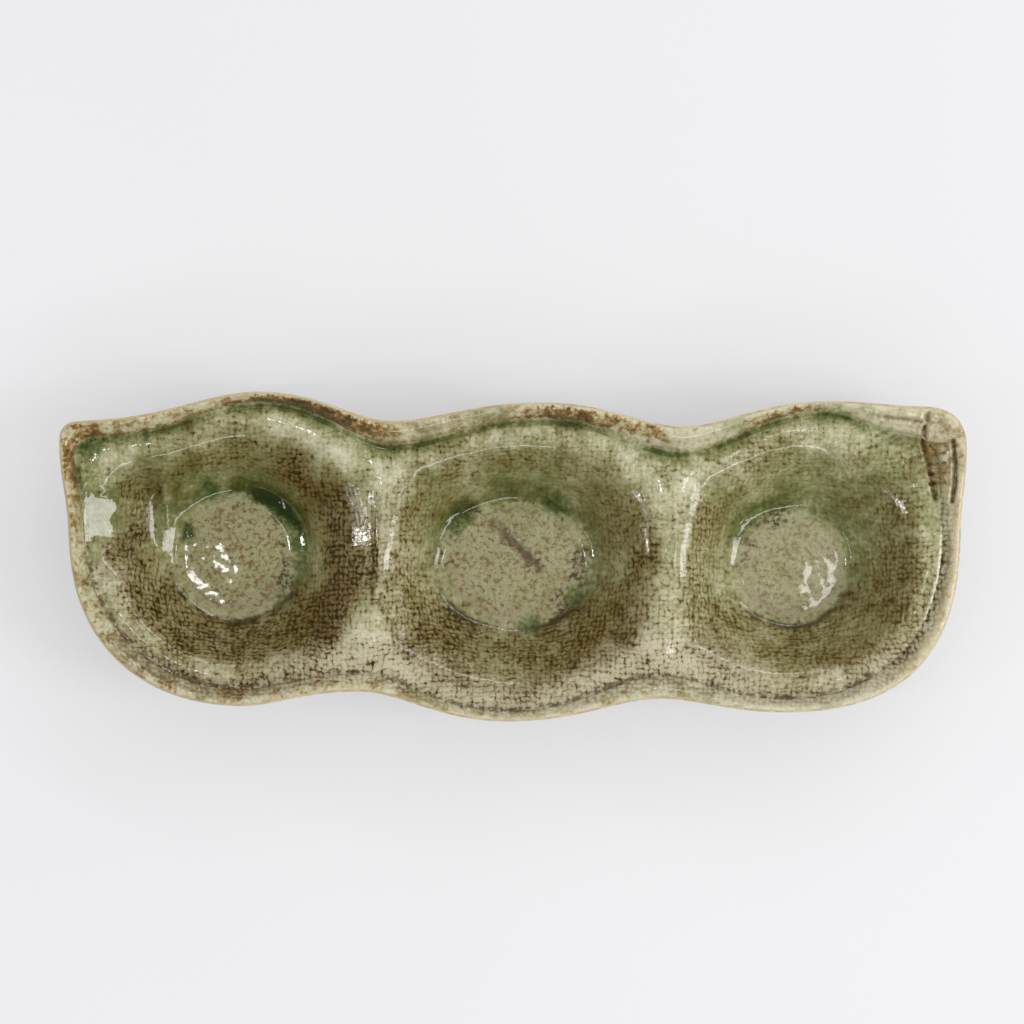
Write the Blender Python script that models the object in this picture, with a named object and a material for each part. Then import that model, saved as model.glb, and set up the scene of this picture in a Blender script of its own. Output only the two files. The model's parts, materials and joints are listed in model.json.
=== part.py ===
"""A pod-shaped stoneware dish with three wells for sauces.

Metres, +Z up. The pod runs along X with its tip at -X and its stem end at +X.
The back edge is at +Y. The dish stands on the plane Z = 0.
"""

import math

import bmesh
import bpy
from mathutils import Vector
from mathutils.geometry import interpolate_bezier

# The three wells, from the tip to the stem end.
WELL_PITCH = 0.0777
WELL_SHIFTS = (0.0000, -0.0022, -0.0029)
FLOOR_HALF_LENGTHS = (0.0165, 0.0200, 0.0150)
FLOOR_HALF_WIDTHS = (0.0165, 0.0168, 0.0150)
FLOOR_DOME = 0.0009
WELL_DEPTH = 0.0175
WALL_RUN = 0.0210
SADDLE_DIP = 0.0025

# The pod's outline. Reaches are measured from the pod's axis or from the end well.
# Leans say how far a crest or a waist sits towards the stem end.
BACK_CREST_REACHES = (0.0456, 0.0426, 0.0429)
BACK_CREST_LEANS = (0.0075, 0.0079, 0.0089)
BACK_WAIST_REACHES = (0.0373, 0.0358)
BACK_WAIST_LEANS = (0.0052, 0.0075)
FRONT_CREST_REACHES = (0.0413, 0.0455, 0.0430)
FRONT_CREST_LEANS = (0.0026, -0.0017, -0.0021)
FRONT_WAIST_REACHES = (0.0371, 0.0391)
FRONT_WAIST_LEANS = (-0.0035, 0.0015)
TIP_REACH = 0.0474
TIP_SIDE_REACH = 0.0374
TIP_ROUND = 0.0048
TIP_TAPER = 0.0027
STEM_REACH = 0.0470
STEM_SIDE_REACH = 0.0413
STEM_ROUND = 0.0095
STEM_TAPER = 0.0018
SIDE_HEIGHT = 0.0050

# The raised lip, the groove inside it and the flange under it. The lip is broad at the
# waists and narrow at the crests.
BACK_CREST_LIPS = (0.0030, 0.0046, 0.0029)
BACK_WAIST_LIPS = (0.0065, 0.0070)
FRONT_CREST_LIPS = (0.0048, 0.0028, 0.0038)
FRONT_WAIST_LIPS = (0.0050, 0.0065)
TIP_LIP = 0.0045
STEM_LIP = 0.0076
STEM_SIDE_LIP = 0.0056
LIP_HEIGHT = 0.0035
STEM_CREASE = 0.0011
GROOVE_WIDTH = 0.0022
GROOVE_DEPTH = 0.0006
SHOULDER_RISE = 0.0012
FLANGE_THICKNESS = 0.0038
FLANGE_ROUND = 0.0009
FLANGE_REACH = 0.0040

# Thicknesses, the feet and the pooled glaze.
FLOOR_THICKNESS = 0.0047
SADDLE_THICKNESS = 0.0050
PAD_MARGIN = 0.0030
FOOT_HEIGHT = 0.0035
FOOT_WIDTH = 0.0040
FOOT_ROUND = 0.0006
POOL_THICKNESS = 0.0011
GROOVE_FILL = 0.0009
GLAZE_EDGE = 0.0003
SEAT_GAP = 0.0003

# Each pool's first and last direction from its well's centre, in degrees from +X.
LEFT_POOL = (-35.0, 95.0)
MIDDLE_LEFT_POOL = (120.0, 185.0)
MIDDLE_RIGHT_POOL = (-50.0, 10.0)
RIGHT_POOL = (95.0, 190.0)

# How full the curves are, as shares of the span they bend over.
CREST_FULLNESS = 0.48
WAIST_FULLNESS = 0.28
LEFT_CHEEK_FULLNESS = 0.60
RIGHT_CHEEK_FULLNESS = 0.67
LEFT_GROOVE_FULLNESS = 0.55
RIGHT_GROOVE_FULLNESS = 0.60
CORNER_FULLNESS = 0.55
FLOOR_EASE = 0.35
SHOULDER_EASE = 0.36

# The incised line on the stem end of the lip and the bead in the groove, as shares across.
CREASE_PLACE = 0.46
CREASE_SPREAD = 0.20
BEAD_LINES = (0.16, 0.50, 0.78)

# The lip's section: how far across it and how far up it each corner is.
LIP_SECTION = (
    (0.04, 0.00),
    (0.00, 0.36),
    (0.03, 0.74),
    (0.14, 0.95),
    (0.28, 1.00),
    (0.46, 0.88),
    (0.66, 0.62),
    (0.86, 0.34),
    (0.97, 0.16),
    (1.00, 0.00),
)

# Mesh steps.
LOBE_STEPS = 7
CHEEK_STEPS = 10
SIDE_STEPS = 5
CORNER_STEPS = 4
SADDLE_STEPS = 10
WALL_STEPS = 9
UNDER_STEPS = 6
FLOOR_RINGS = (1.00, 0.86, 0.60, 0.30)
FOOT_STEPS = 40

SEAT_UNDER = FOOT_HEIGHT + SEAT_GAP
FLOOR_LEVEL = SEAT_UNDER + FLOOR_THICKNESS
SHOULDER_LEVEL = FLOOR_LEVEL + WELL_DEPTH
SEAT_LEVEL = SHOULDER_LEVEL - SHOULDER_RISE
FLANGE_LEVEL = SEAT_LEVEL - FLANGE_THICKNESS


def clear_scene():
    for item in list(bpy.data.objects):
        bpy.data.objects.remove(item, do_unlink=True)


def glaze(name, colour, roughness):
    material = bpy.data.materials.new(name)
    material.use_nodes = True
    shader = material.node_tree.nodes["Principled BSDF"]
    shader.inputs["Base Color"].default_value = (*colour, 1.0)
    shader.inputs["Roughness"].default_value = roughness
    shader.inputs["Metallic"].default_value = 0.0
    return material


def well_centres():
    return [Vector(((i - 1) * WELL_PITCH, WELL_SHIFTS[i])) for i in range(3)]


def pod_spans(share=0.0, inset=0.0):
    """The outline's spans, from the first back waist round by the tip and the front.

    A share of 1 moves them in to the lip's inner edge, and an inset moves them further.
    Each span is (first knot, first handle, second handle, second knot, steps).
    """
    wells = well_centres()

    def inwards(lip):
        return share * lip + inset

    def edge_knots(xs, leans, reaches, lips, side):
        knots = []
        for x, lean, reach, lip in zip(xs, leans, reaches, lips):
            knots.append(Vector((x + lean, side * (reach - inwards(lip)))))
        return knots

    def corner_knots(turn, along, down):
        return turn + Vector((along, 0.0)), turn - Vector((0.0, down))

    well_xs = [well.x for well in wells]
    middle_xs = [(well_xs[i] + well_xs[i + 1]) / 2 for i in range(2)]
    back = edge_knots(well_xs, BACK_CREST_LEANS, BACK_CREST_REACHES, BACK_CREST_LIPS, 1)
    front = edge_knots(well_xs, FRONT_CREST_LEANS, FRONT_CREST_REACHES, FRONT_CREST_LIPS, -1)
    back_waist = edge_knots(middle_xs, BACK_WAIST_LEANS, BACK_WAIST_REACHES, BACK_WAIST_LIPS, 1)
    front_waist = edge_knots(middle_xs, FRONT_WAIST_LEANS, FRONT_WAIST_REACHES, FRONT_WAIST_LIPS, -1)

    tip_in, stem_in, side_in = inwards(TIP_LIP), inwards(STEM_LIP), inwards(STEM_SIDE_LIP)
    tip = Vector((well_xs[0] - TIP_REACH + tip_in, TIP_SIDE_REACH - tip_in))
    stem = Vector((well_xs[2] + STEM_REACH - stem_in, STEM_SIDE_REACH - stem_in))
    left = Vector((well_xs[0] - TIP_REACH + TIP_TAPER + tip_in, SIDE_HEIGHT))
    right = Vector((well_xs[2] + STEM_REACH - STEM_TAPER - side_in, SIDE_HEIGHT))
    tip_along, tip_down = corner_knots(tip, TIP_ROUND, TIP_ROUND)
    stem_along, stem_down = corner_knots(stem, -STEM_ROUND, STEM_ROUND)

    def lobe(start, end, start_share, end_share):
        reach = end.x - start.x
        first = start + Vector((reach * start_share, 0.0))
        second = end - Vector((reach * end_share, 0.0))
        return (start, first, second, end, LOBE_STEPS)

    def side(start, end):
        reach = end.y - start.y
        first = start + Vector((0.0, reach * CREST_FULLNESS))
        second = end - Vector((0.0, reach * CREST_FULLNESS))
        return (start, first, second, end, SIDE_STEPS)

    def turned(start, end, turn, fullness, steps):
        first = start.lerp(turn, fullness)
        second = end.lerp(turn, fullness)
        return (start, first, second, end, steps)

    def cheek(start, end, turn, outer, inner):
        return turned(start, end, turn, outer + (inner - outer) * share, CHEEK_STEPS)

    full, slack = CREST_FULLNESS, WAIST_FULLNESS
    left_turn = Vector((left.x, front[0].y))
    right_turn = Vector((right.x, front[2].y))
    left_cell = [
        lobe(back_waist[0], back[0], slack, full),
        lobe(back[0], tip_along, slack, full),
        turned(tip_along, tip_down, tip, CORNER_FULLNESS, CORNER_STEPS),
        side(tip_down, left),
        cheek(left, front[0], left_turn, LEFT_CHEEK_FULLNESS, LEFT_GROOVE_FULLNESS),
        lobe(front[0], front_waist[0], slack, full),
    ]
    front_cell = [
        lobe(front_waist[0], front[1], slack, full),
        lobe(front[1], front_waist[1], full, slack),
    ]
    right_cell = [
        lobe(front_waist[1], front[2], slack, full),
        cheek(front[2], right, right_turn, RIGHT_CHEEK_FULLNESS, RIGHT_GROOVE_FULLNESS),
        side(right, stem_down),
        turned(stem_down, stem_along, stem, CORNER_FULLNESS, CORNER_STEPS),
        lobe(stem_along, back[2], slack, slack),
        lobe(back[2], back_waist[1], full, slack),
    ]
    back_cell = [
        lobe(back_waist[1], back[1], slack, full),
        lobe(back[1], back_waist[0], full, slack),
    ]
    return [left_cell, front_cell, right_cell, back_cell]


def pod_sections(share=0.0, inset=0.0):
    """The four runs of outline points, each from one waist to the next."""
    sections = []
    for spans in pod_spans(share, inset):
        points = []
        for start, first, second, end, steps in spans:
            curve = interpolate_bezier(start, first, second, end, steps + 1)
            points.extend(Vector(p[:2]) for p in curve[:-1])
        sections.append(points)
    return sections


def pod_centre():
    loop = [point for section in pod_sections() for point in section]
    xs = [p.x for p in loop]
    ys = [p.y for p in loop]
    return Vector(((min(xs) + max(xs)) / 2, (min(ys) + max(ys)) / 2))


CENTRE = pod_centre()
WELLS = [centre - CENTRE for centre in well_centres()]


def placed_sections(share=0.0, inset=0.0):
    return [[p - CENTRE for p in part] for part in pod_sections(share, inset)]


def groove_sections(share):
    """The runs of a line that keeps its place across the groove."""
    return placed_sections(1.0, share * GROOVE_WIDTH)


def saddle_line(start, end, level, dip):
    """Points of a saddle's crest between two waists, the ends included."""
    line = []
    for k in range(SADDLE_STEPS + 1):
        share = k / SADDLE_STEPS
        place = start.lerp(end, share)
        line.append((place, level - dip * math.sin(math.pi * share) ** 2))
    return line


def cell_borders(sections, level, dip):
    """The closed border of each well's cell: outline points and saddle points."""
    left, front, right, back = sections
    first = saddle_line(front[0], left[0], level, dip)
    second = saddle_line(back[0], right[0], level, dip)
    rim = [[(p, level) for p in part] for part in sections]
    return [
        rim[0] + first[:-1],
        rim[1] + second[::-1][:-1] + rim[3] + first[::-1][:-1],
        rim[2] + second[:-1],
    ]


def floor_edge(well, place, margin):
    """The point of a well's oval floor that faces a place, moved out by a margin."""
    heading = (place - WELLS[well]).normalized()
    along = FLOOR_HALF_LENGTHS[well] + margin
    across = FLOOR_HALF_WIDTHS[well] + margin
    reach = 1.0 / math.hypot(heading.x / along, heading.y / across)
    return WELLS[well] + heading * reach


def wall_point(foot, foot_level, head, head_level, share):
    """A point of the S-shaped wall that runs from a floor's edge to a border.

    The steep part stays within the wall's run; a longer spoke ends in a level shelf.
    """
    run = (head - foot).length
    steep = 1.0 / (1.0 + (run / WALL_RUN) ** 4) ** 0.25
    rest = 1.0 - share
    weights = (rest ** 3, 3 * rest ** 2 * share, 3 * rest * share ** 2, share ** 3)
    across = steep * (weights[1] * FLOOR_EASE + weights[2] * (1.0 - SHOULDER_EASE)) + weights[3]
    level = (weights[0] + weights[1]) * foot_level + (weights[2] + weights[3]) * head_level
    return (*foot.lerp(head, across), level)


def spoke_points(well, place, level):
    """A spoke of a well's inner face, from its border in to the floor's middle."""
    edge = floor_edge(well, place, 0.0)
    points = []
    for k in range(WALL_STEPS, 0, -1):
        points.append(wall_point(edge, FLOOR_LEVEL, place, level, k / WALL_STEPS))
    for share in FLOOR_RINGS:
        spot = WELLS[well].lerp(edge, share)
        points.append((*spot, FLOOR_LEVEL + FLOOR_DOME * (1.0 - share ** 2)))
    return points


def under_points(well, place, level):
    """A spoke of a well's underside, from its border in to the foot's pad."""
    edge = floor_edge(well, place, PAD_MARGIN)
    points = []
    for k in range(UNDER_STEPS, -1, -1):
        points.append(wall_point(edge, SEAT_UNDER, place, level, k / UNDER_STEPS))
    return points


def add_ring(mesh, points):
    return [mesh.verts.new(p) for p in points]


def join_rings(mesh, first, second):
    count = len(first)
    for k in range(count):
        after = (k + 1) % count
        mesh.faces.new((first[k], first[after], second[after], second[k]))


def close_ring(mesh, ring, middle):
    tip = mesh.verts.new(middle)
    for k in range(len(ring)):
        mesh.faces.new((ring[k], ring[(k + 1) % len(ring)], tip))


def finish(name, mesh, material, parent, place=(0.0, 0.0, 0.0), sharp=45.0):
    """Turn a bmesh into a named, smooth object that stands at its place."""
    bmesh.ops.remove_doubles(mesh, verts=mesh.verts, dist=1e-6)
    bmesh.ops.recalc_face_normals(mesh, faces=mesh.faces)
    data = bpy.data.meshes.new(name)
    mesh.to_mesh(data)
    mesh.free()
    data.shade_smooth()
    data.set_sharp_from_angle(angle=math.radians(sharp))
    data.materials.append(material)
    piece = bpy.data.objects.new(name, data)
    bpy.context.collection.objects.link(piece)
    piece.parent = parent
    piece.location = place
    return piece


def build_body(material, parent):
    """The pressed slab: flange, shoulder, wells, saddles and outer wall."""
    mesh = bmesh.new()

    def loop_at(sections, level):
        return add_ring(mesh, [(*p, level) for part in sections for p in part])

    rings = [
        loop_at(placed_sections(0.0, FLANGE_REACH), FLANGE_LEVEL - FLANGE_ROUND),
        loop_at(placed_sections(0.0, FLANGE_ROUND), FLANGE_LEVEL),
        loop_at(placed_sections(), FLANGE_LEVEL + FLANGE_ROUND),
        loop_at(placed_sections(), SEAT_LEVEL),
        loop_at(groove_sections(0.0), SEAT_LEVEL),
        loop_at(groove_sections(0.5), SEAT_LEVEL - GROOVE_DEPTH),
        loop_at(groove_sections(1.0), SHOULDER_LEVEL),
    ]
    for first, second in zip(rings, rings[1:]):
        join_rings(mesh, first, second)

    shoulder = groove_sections(1.0)
    for well, border in enumerate(cell_borders(shoulder, SHOULDER_LEVEL, SADDLE_DIP)):
        spokes = [spoke_points(well, *spot) for spot in border]
        circles = [add_ring(mesh, circle) for circle in zip(*spokes)]
        for first, second in zip(circles, circles[1:]):
            join_rings(mesh, first, second)
        close_ring(mesh, circles[-1], (*WELLS[well], FLOOR_LEVEL + FLOOR_DOME))

    under = placed_sections(0.0, FLANGE_REACH)
    under_level = FLANGE_LEVEL - FLANGE_ROUND
    under_dip = under_level - (SHOULDER_LEVEL - SADDLE_DIP - SADDLE_THICKNESS)
    for well, border in enumerate(cell_borders(under, under_level, under_dip)):
        spokes = [under_points(well, *spot) for spot in border]
        circles = [add_ring(mesh, circle) for circle in zip(*spokes)]
        for first, second in zip(circles, circles[1:]):
            join_rings(mesh, first, second)
        close_ring(mesh, circles[-1], (*WELLS[well], SEAT_UNDER))
    return finish("dish_body", mesh, material, parent)


def stem_crease(share, height, place):
    """How deep the line incised along the stem end of the lip is at a place."""
    across = max(0.0, 1.0 - abs(share - CREASE_PLACE) / CREASE_SPREAD)
    length = STEM_SIDE_REACH - STEM_ROUND - SIDE_HEIGHT
    along = (place.y + CENTRE.y - SIDE_HEIGHT) / length
    if place.x < WELLS[2].x or not 0.0 < along < 1.0:
        return 0.0
    return min(STEM_CREASE * across * math.sin(math.pi * along), height)


def build_lip(material, parent):
    """The raised strip round the edge, standing on the flange."""
    mesh = bmesh.new()
    rings = []
    for share, rise in LIP_SECTION:
        height = rise * LIP_HEIGHT
        points = []
        for part in placed_sections(share):
            for p in part:
                level = SEAT_LEVEL + SEAT_GAP + height - stem_crease(share, height, p)
                points.append((*p, level))
        rings.append(add_ring(mesh, points))
    for first, second in zip(rings, rings[1:] + rings[:1]):
        join_rings(mesh, first, second)
    return finish("rim_lip", mesh, material, parent)


def build_foot(name, well, material, parent):
    """An unglazed ring under a well: a turned section spun round."""
    outer = FLOOR_HALF_WIDTHS[well]
    inner = outer - FOOT_WIDTH
    section = [
        (inner, FOOT_HEIGHT),
        (inner, FOOT_ROUND),
        (inner + FOOT_ROUND, 0.0),
        (outer - FOOT_ROUND, 0.0),
        (outer, FOOT_ROUND),
        (outer, FOOT_HEIGHT),
    ]
    mesh = bmesh.new()
    corners = [mesh.verts.new((radius, 0.0, level)) for radius, level in section]
    count = len(corners)
    edges = [mesh.edges.new((corners[k], corners[(k + 1) % count])) for k in range(count)]
    bmesh.ops.spin(
        mesh,
        geom=corners + edges,
        axis=(0.0, 0.0, 1.0),
        cent=(0.0, 0.0, 0.0),
        angle=2.0 * math.pi,
        steps=FOOT_STEPS,
    )
    return finish(name, mesh, material, parent, place=(*WELLS[well], 0.0))


def build_patch(name, columns, fill, material, parent):
    """A lens of glass over a patch of the body, a gap above it.

    Each column is a row of points on the body; the lens is thickest in the middle.
    """
    mesh = bmesh.new()
    length = len(columns) - 1
    width = len(columns[0]) - 1
    under, over = [], []
    for i, column in enumerate(columns):
        along = math.sin(math.pi * i / length)
        low, high = [], []
        for k, (x, y, z) in enumerate(column):
            bulge = along * math.sin(math.pi * k / width)
            thick = GLAZE_EDGE + (fill - GLAZE_EDGE) * bulge
            low.append(mesh.verts.new((x, y, z + SEAT_GAP)))
            high.append(mesh.verts.new((x, y, z + SEAT_GAP + thick)))
        under.append(low)
        over.append(high)
    for i in range(length):
        for k in range(width):
            for sheet in (under, over):
                mesh.faces.new(
                    (sheet[i][k], sheet[i + 1][k], sheet[i + 1][k + 1], sheet[i][k + 1])
                )
        for k in (0, width):
            mesh.faces.new((under[i][k], under[i + 1][k], over[i + 1][k], over[i][k]))
    for i in (0, length):
        for k in range(width):
            mesh.faces.new((under[i][k], under[i][k + 1], over[i][k + 1], over[i][k]))
    return finish(name, mesh, material, parent)


def build_pool(name, well, turns, material, parent):
    """Thick glaze in the moat between a floor's dome and its wall."""
    shoulder = groove_sections(1.0)
    border = cell_borders(shoulder, SHOULDER_LEVEL, SADDLE_DIP)[well]
    first, last = turns
    spokes = []
    for place, level in border:
        heading = place - WELLS[well]
        turn = math.degrees(math.atan2(heading.y, heading.x))
        past = (turn - first) % 360.0
        if past <= last - first:
            spokes.append((past, spoke_points(well, place, level)))
    spokes.sort(key=lambda spoke: spoke[0])
    columns = [points[WALL_STEPS - 2:WALL_STEPS + 2] for past, points in spokes]
    return build_patch(name, columns, POOL_THICKNESS, material, parent)


def build_groove_glaze(material, parent):
    """The bead of glaze that filled the groove along the back edge."""
    lines = []
    for share in BEAD_LINES:
        left, front, right, back = groove_sections(share)
        steps = 2 * LOBE_STEPS
        line = left[:steps][::-1] + back[::-1] + right[-steps:][::-1]
        slope = abs(share - 0.5) / 0.5
        bank = SEAT_LEVEL if share < 0.5 else SHOULDER_LEVEL
        bottom = SEAT_LEVEL - GROOVE_DEPTH
        lines.append([(*p, bottom + (bank - bottom) * slope) for p in line])
    columns = [list(column) for column in zip(*lines)]
    return build_patch("back_groove_glaze", columns, GROOVE_FILL, material, parent)


clear_scene()
dish = bpy.data.objects.new("sauce_dish", None)
bpy.context.collection.objects.link(dish)

build_body(glaze("cloth_glaze", (0.27, 0.24, 0.12), 0.22), dish)
build_lip(glaze("lip_glaze", (0.40, 0.33, 0.19), 0.22), dish)
for well, side in enumerate(("left", "middle", "right")):
    build_foot(side + "_foot_ring", well, glaze(side + "_clay", (0.36, 0.23, 0.13), 0.85), dish)
build_pool("left_glaze_pool", 0, LEFT_POOL, glaze("left_glass", (0.05, 0.07, 0.02), 0.08), dish)
build_pool(
    "middle_left_glaze_pool", 1, MIDDLE_LEFT_POOL,
    glaze("middle_left_glass", (0.06, 0.08, 0.03), 0.08), dish,
)
build_pool(
    "middle_right_glaze_pool", 1, MIDDLE_RIGHT_POOL,
    glaze("middle_right_glass", (0.06, 0.08, 0.03), 0.08), dish,
)
build_pool("right_glaze_pool", 2, RIGHT_POOL, glaze("right_glass", (0.07, 0.09, 0.03), 0.08), dish)
build_groove_glaze(glaze("groove_glass", (0.06, 0.08, 0.02), 0.08), dish)
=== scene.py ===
# %% [markdown]
# # A pod-shaped sauce dish with three wells
#
# The dish is one slab of stoneware pressed over cloth into a pod with three round wells.
# An iron wash was wiped into the cloth marks, and a green ash glaze was poured over it.
# The glaze is thin and tan on every edge, and thick and bottle green where it ran together.
#
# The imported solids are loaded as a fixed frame, and everything made below sits on them.

# %% Load the frame
import json
import math
from types import SimpleNamespace

import bpy
import numpy as np
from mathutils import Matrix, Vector, noise
from mathutils.bvhtree import BVHTree
from mathutils.kdtree import KDTree

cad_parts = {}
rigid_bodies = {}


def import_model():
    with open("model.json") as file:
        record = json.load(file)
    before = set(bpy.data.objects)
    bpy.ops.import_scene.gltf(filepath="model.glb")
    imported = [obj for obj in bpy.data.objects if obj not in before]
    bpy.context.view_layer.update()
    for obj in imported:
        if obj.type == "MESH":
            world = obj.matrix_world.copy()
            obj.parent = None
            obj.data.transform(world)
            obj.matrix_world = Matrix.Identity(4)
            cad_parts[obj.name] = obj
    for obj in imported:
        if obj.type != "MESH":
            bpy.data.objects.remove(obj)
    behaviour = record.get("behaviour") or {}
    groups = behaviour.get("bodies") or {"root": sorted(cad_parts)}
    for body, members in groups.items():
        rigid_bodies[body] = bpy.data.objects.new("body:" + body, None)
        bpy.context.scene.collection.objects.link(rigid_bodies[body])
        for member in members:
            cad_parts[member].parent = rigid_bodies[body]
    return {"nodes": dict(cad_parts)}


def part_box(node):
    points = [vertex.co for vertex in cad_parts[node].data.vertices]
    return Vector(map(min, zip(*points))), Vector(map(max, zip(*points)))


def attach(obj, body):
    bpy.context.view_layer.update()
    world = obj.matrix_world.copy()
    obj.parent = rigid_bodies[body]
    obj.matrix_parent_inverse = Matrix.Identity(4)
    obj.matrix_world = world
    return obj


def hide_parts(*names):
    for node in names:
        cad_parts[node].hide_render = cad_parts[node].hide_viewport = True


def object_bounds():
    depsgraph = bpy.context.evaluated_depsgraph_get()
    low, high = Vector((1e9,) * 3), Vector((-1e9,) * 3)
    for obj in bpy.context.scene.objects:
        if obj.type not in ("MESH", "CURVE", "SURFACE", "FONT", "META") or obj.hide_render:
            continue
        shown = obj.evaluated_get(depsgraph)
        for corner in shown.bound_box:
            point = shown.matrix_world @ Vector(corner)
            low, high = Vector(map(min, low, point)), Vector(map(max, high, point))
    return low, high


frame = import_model()
cad_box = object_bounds()
MM = 0.001
print("solids:", ", ".join(frame["nodes"]))

# %% [markdown]
# ## The camera
#
# The photograph looks straight down on the dish, a little above its middle. A long lens from
# well above keeps the perspective as weak as it is there.

# %% Set the camera
RIM_LEVEL = cad_box[1].z
VIEW_HEIGHT = 850 * MM
VIEW_WIDTH = 280.7 * MM

camera_data = bpy.data.cameras.new("camera")
camera_data.sensor_width = 36.0
camera_data.lens = 36.0 * VIEW_HEIGHT / VIEW_WIDTH
camera = bpy.data.objects.new("camera", camera_data)
camera.location = (-0.3 * MM, 12.2 * MM, RIM_LEVEL + VIEW_HEIGHT)
bpy.context.collection.objects.link(camera)
bpy.context.scene.camera = camera
print("lens", round(camera_data.lens, 1), "mm")

# %% [markdown]
# ## Where things are on the pod
#
# Most of what the glaze does depends on how far a place is from the rim, from the groove or
# from a well. The rim's widest loop of corners gives the outline, and its inner foot gives
# the groove. A pod is seen whole from its middle, so sorting the corners by angle puts them
# in order.

# %% Read the outline and the groove from the lip
def rows_of(collection, key):
    """One vector from each item of a mesh, one row for each."""
    flat = np.empty(3 * len(collection))
    collection.foreach_get(key, flat)
    return flat.reshape(-1, 3)


def places_of(piece):
    """The vertices of a piece, one row for each."""
    return rows_of(piece.data.vertices, "co")


def in_order(points):
    """Loose corners of a loop, sorted round the pod's middle, each once."""
    flat = np.unique(np.round(points[:, :2], 6), axis=0)
    return flat[np.argsort(np.arctan2(flat[:, 1], flat[:, 0]))]


def distance_to(points, path, closed=True):
    """The flat distance from each point to a path, which may close on itself."""
    best = np.full(len(points), np.inf)
    for start, end in zip(path, np.roll(path, -1, axis=0) if closed else path[1:]):
        run = end - start
        share = np.clip((points[:, :2] - start) @ run / (run @ run), 0, 1)
        gap = points[:, :2] - start - share[:, None] * run
        best = np.minimum(best, np.hypot(gap[:, 0], gap[:, 1]))
    return best


def inside(points, loop):
    """True for each point that lies inside a closed loop."""
    x, y = points[:, 0], points[:, 1]
    odd = np.zeros(len(points), dtype=bool)
    for (ax, ay), (bx, by) in zip(loop, np.roll(loop, -1, axis=0)):
        crosses = (ay > y) != (by > y)
        slope = (bx - ax) / (by - ay) if by != ay else 0.0
        odd ^= crosses & (x < ax + (y - ay) * slope)
    return odd


lip_corners = places_of(frame["nodes"]["rim_lip"])
lip_levels = np.round(lip_corners[:, 2], 5)
widths = {z: np.ptp(lip_corners[lip_levels == z, 0]) for z in np.unique(lip_levels)}
OUTLINE = in_order(lip_corners[lip_levels == max(widths, key=widths.get)])
lowest = lip_corners[lip_levels == lip_levels.min()]
OUTER_FOOT = 1.5 * MM
GROOVE = in_order(lowest[distance_to(lowest, OUTLINE) > OUTER_FOOT])
print("outline", len(OUTLINE), "corners, groove", len(GROOVE))

# %% [markdown]
# ## Refined copies of the solids
#
# The solids have few faces. A copy of each is merged, turned back into quads and rounded by a
# Subdivision Surface, which is what turns a faceted model into fired clay.

# %% Copy a solid and round it
def select_only(piece):
    """Makes one object the whole selection."""
    bpy.ops.object.select_all(action="DESELECT")
    piece.select_set(True)
    bpy.context.view_layer.objects.active = piece


def quad_copy(node, name):
    """A copy of a solid in quads, free of the frame."""
    select_only(frame["nodes"][node])
    bpy.ops.object.duplicate()
    piece = bpy.context.object
    piece.name = name
    piece.data.name = name
    bpy.ops.object.parent_clear(type="CLEAR_KEEP_TRANSFORM")
    bpy.ops.object.mode_set(mode="EDIT")
    bpy.ops.mesh.select_all(action="SELECT")
    bpy.ops.mesh.remove_doubles(threshold=0.002 * MM)
    bpy.ops.mesh.tris_convert_to_quads(face_threshold=1.4, shape_threshold=1.4)
    bpy.ops.mesh.customdata_custom_splitnormals_clear()
    bpy.ops.object.mode_set(mode="OBJECT")
    piece.data.materials.clear()
    return piece


def rounded(piece, levels):
    """Rounds a quad cage with an applied Subdivision Surface."""
    select_only(piece)
    rounding = piece.modifiers.new("rounding", "SUBSURF")
    rounding.levels = levels
    rounding.render_levels = levels
    bpy.ops.object.modifier_apply(modifier=rounding.name)
    bpy.ops.object.shade_smooth()
    print(piece.name, len(piece.data.polygons), "faces")
    return piece


def normals_of(piece):
    """The vertex normals of a piece, one row for each."""
    return rows_of(piece.data.vertex_normals, "vector")


def move_to(piece, places):
    """Puts the vertices of a piece at new places."""
    piece.data.vertices.foreach_set("co", np.ascontiguousarray(places).ravel())
    piece.data.update()


def choose(piece, chosen):
    """Goes into edit mode with the vertices selected that a row of true and false names."""
    select_only(piece)
    bpy.ops.object.mode_set(mode="EDIT")
    bpy.ops.mesh.select_mode(type="VERT")
    bpy.ops.mesh.select_all(action="DESELECT")
    bpy.ops.object.mode_set(mode="OBJECT")
    piece.data.vertices.foreach_set("select", chosen.astype(bool))
    bpy.ops.object.mode_set(mode="EDIT")


# %% [markdown]
# The lip and the body are fitted to each other before they are rounded. The lip gets a skirt
# that wraps the flange, so that the rim is one thickness of clay from outside.

# %% Fit the lip's cage over the flange
SKIRT_LEVEL = 20.9 * MM
SKIRT_SCALE = 0.9925
LIP_SINK = 0.9 * MM

lip = quad_copy("rim_lip", "rim_glazed")
cage = places_of(lip)
inset = distance_to(cage, OUTLINE)
at_foot = cage[:, 2] < cage[:, 2].min() + 0.05 * MM
outer_foot = at_foot & (inset < OUTER_FOOT)
inner_foot = at_foot & (inset >= OUTER_FOOT)
cage[outer_foot, 2] = SKIRT_LEVEL
cage[outer_foot, :2] *= SKIRT_SCALE
cage[inner_foot, 2] -= LIP_SINK
move_to(lip, cage)

choose(lip, outer_foot)
bpy.ops.transform.edge_crease(value=0.6)
bpy.ops.object.mode_set(mode="OBJECT")
rounded(lip, 3)

# %% [markdown]
# The body's flange moves in behind that skirt, and its groove is eased. On the right, in front
# of the stem, the groove is filled further, because the clay rolls up into the edge there.

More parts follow.
